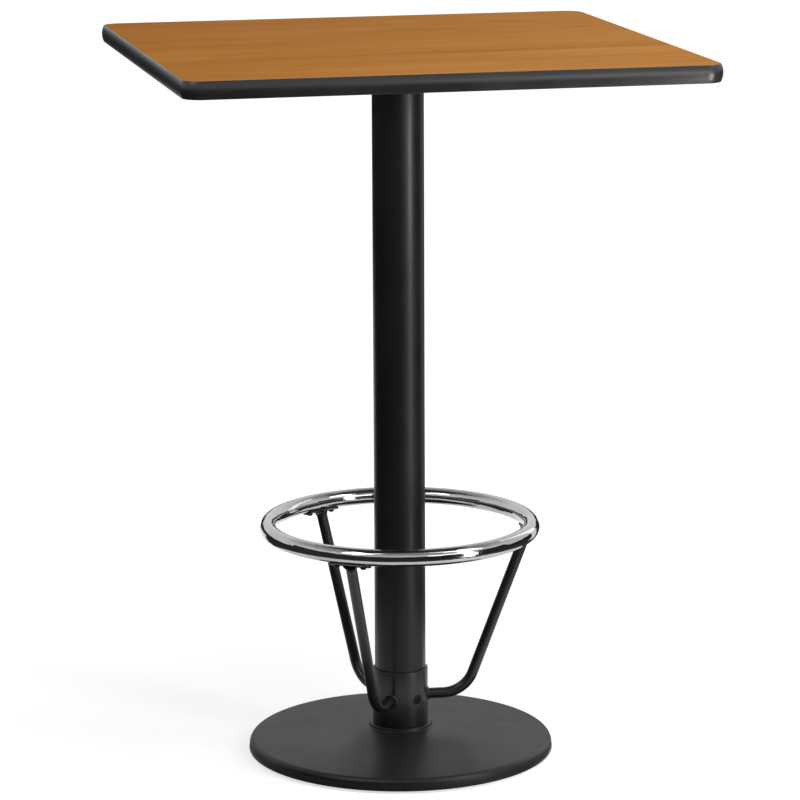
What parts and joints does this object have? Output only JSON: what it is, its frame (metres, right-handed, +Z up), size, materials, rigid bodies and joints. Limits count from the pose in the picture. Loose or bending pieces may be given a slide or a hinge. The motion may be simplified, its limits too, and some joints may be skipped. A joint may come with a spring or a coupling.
{
  "type": "pub table",
  "caption": "Bar-height pub table: square wood-look laminate top on a round black column, with a domed disc base and a chromed foot ring on bent legs",
  "frame": {"origin": "on the floor, under the column's axis", "axes": "+Z up; the square top's edges run along X and Y; +X is to the right and the front is towards -Y"},
  "size_m": [0.7618, 0.7618, 1.0668],
  "materials": {
    "wood_laminate": "satin high-pressure laminate, oak-coloured grain",
    "particleboard": "raw particleboard",
    "backer": "plain phenolic backer sheet",
    "edge_vinyl": "satin black vinyl moulding",
    "black_powder_coat": "satin black powder coat on steel",
    "black_casting": "satin black powder coat on cast iron",
    "chrome": "polished chrome plate",
    "zinc_steel": "zinc-plated steel",
    "black_screws": "black oxide steel",
    "nylon": "black nylon"
  },
  "bodies": {
    "table": {"top_core": "particleboard", "top_laminate": "wood_laminate", "backer_sheet": "backer", "edge_band": "edge_vinyl", "top_spider": "black_casting", "spider_screws": "zinc_steel", "column": "black_powder_coat", "tie_rod": "zinc_steel", "tie_rod_nuts": "zinc_steel", "top_washer": "zinc_steel", "base_washer": "zinc_steel", "base_casting": "black_casting"},
    "foot_rest": {"foot_ring": "chrome", "saddle_screws": "black_screws", "collar": "black_powder_coat", "strut_right": "black_powder_coat", "strut_rear": "black_powder_coat", "strut_front": "black_powder_coat", "saddle_right": "black_powder_coat", "saddle_rear": "black_powder_coat", "saddle_front": "black_powder_coat"},
    "grub_1": {"set_screw_1": "black_screws"},
    "grub_2": {"set_screw_2": "black_screws"},
    "grub_3": {"set_screw_3": "black_screws"},
    "glide_1": {"glide_stem_1": "zinc_steel", "glide_pad_1": "nylon"},
    "glide_2": {"glide_stem_2": "zinc_steel", "glide_pad_2": "nylon"},
    "glide_3": {"glide_stem_3": "zinc_steel", "glide_pad_3": "nylon"},
    "glide_4": {"glide_stem_4": "zinc_steel", "glide_pad_4": "nylon"}
  },
  "joints": [
    {"name": "foot_rest_slide", "type": "slide", "parent": "table", "child": "foot_rest", "axis": [0, 0, 1], "range_m": [0, 0.64]},
    {"name": "grub_1_screw", "type": "slide", "parent": "foot_rest", "child": "grub_1", "axis": [0.565, 0.8251, 0], "range_m": [0, 0.003]},
    {"name": "grub_2_screw", "type": "slide", "parent": "foot_rest", "child": "grub_2", "axis": [-0.9971, 0.0767, 0], "range_m": [0, 0.003]},
    {"name": "grub_3_screw", "type": "slide", "parent": "foot_rest", "child": "grub_3", "axis": [0.4321, -0.9018, 0], "range_m": [0, 0.003]},
    {"name": "glide_1_screw", "type": "slide", "parent": "table", "child": "glide_1", "axis": [0, 0, -1], "range_m": [0, 0.007]},
    {"name": "glide_2_screw", "type": "slide", "parent": "table", "child": "glide_2", "axis": [0, 0, -1], "range_m": [0, 0.007]},
    {"name": "glide_3_screw", "type": "slide", "parent": "table", "child": "glide_3", "axis": [0, 0, -1], "range_m": [0, 0.007]},
    {"name": "glide_4_screw", "type": "slide", "parent": "table", "child": "glide_4", "axis": [0, 0, -1], "range_m": [0, 0.007]}
  ]
}
